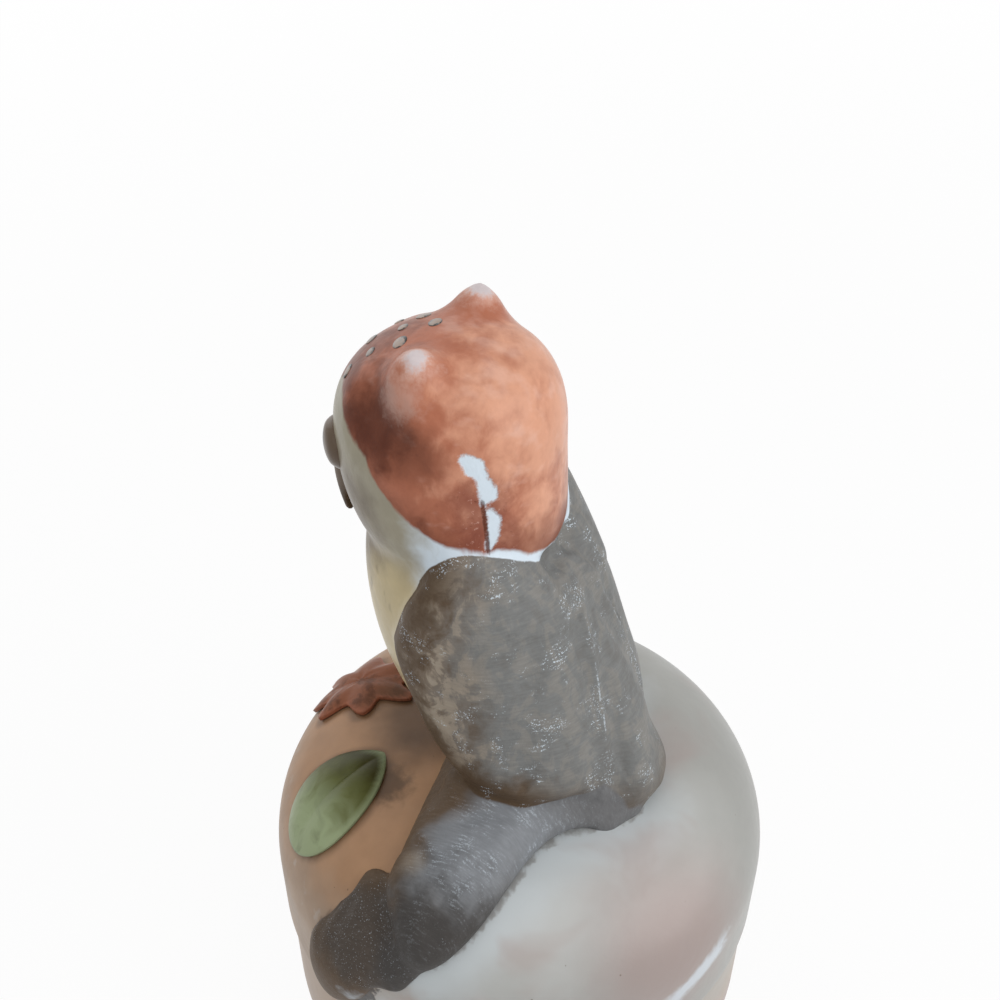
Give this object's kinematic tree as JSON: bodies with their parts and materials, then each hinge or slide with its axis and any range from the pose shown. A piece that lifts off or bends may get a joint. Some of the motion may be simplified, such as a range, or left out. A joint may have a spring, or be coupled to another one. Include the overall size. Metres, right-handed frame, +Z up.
{
  "type": "porcelain trinket box",
  "caption": "Round porcelain trinket box whose domed lift-off lid carries an owl perched on a log among leaves; the lid locates in the base by an inner ring.",
  "frame": {"origin": "centre of the foot ring on the table", "axes": "+Z up through the lid and the owl, -Y the way the owl faces, +X the owl's left"},
  "size_m": [0.0672, 0.066, 0.1131],
  "materials": {
    "base_glaze": "glossy glaze",
    "lid_pearl": "pearl lustre glaze",
    "log_grey": "satin glaze",
    "breast_cream": "glossy glaze",
    "head_rust": "glossy glaze",
    "face_brown": "glossy glaze",
    "wing_grey": "satin glaze",
    "leaf_green": "glossy glaze",
    "leaf_rust": "glossy glaze"
  },
  "bodies": {
    "base": {"base_bowl": "base_glaze"},
    "lid": {"lid_dome": "lid_pearl", "log": "log_grey", "branch_stub": "log_grey", "owl_body": "breast_cream", "owl_head": "head_rust", "left_ear_tuft": "head_rust", "right_ear_tuft": "head_rust", "left_eye": "face_brown", "right_eye": "face_brown", "beak": "face_brown", "left_wing": "wing_grey", "right_wing": "wing_grey", "tail": "wing_grey", "left_foot": "face_brown", "right_foot": "face_brown", "green_leaf": "leaf_green", "autumn_leaf": "leaf_rust"}
  },
  "joints": [
    {"name": "lid_lift", "type": "slide", "parent": "base", "child": "lid", "axis": [0, 0, 1], "range_m": [0, 0.06]}
  ]
}
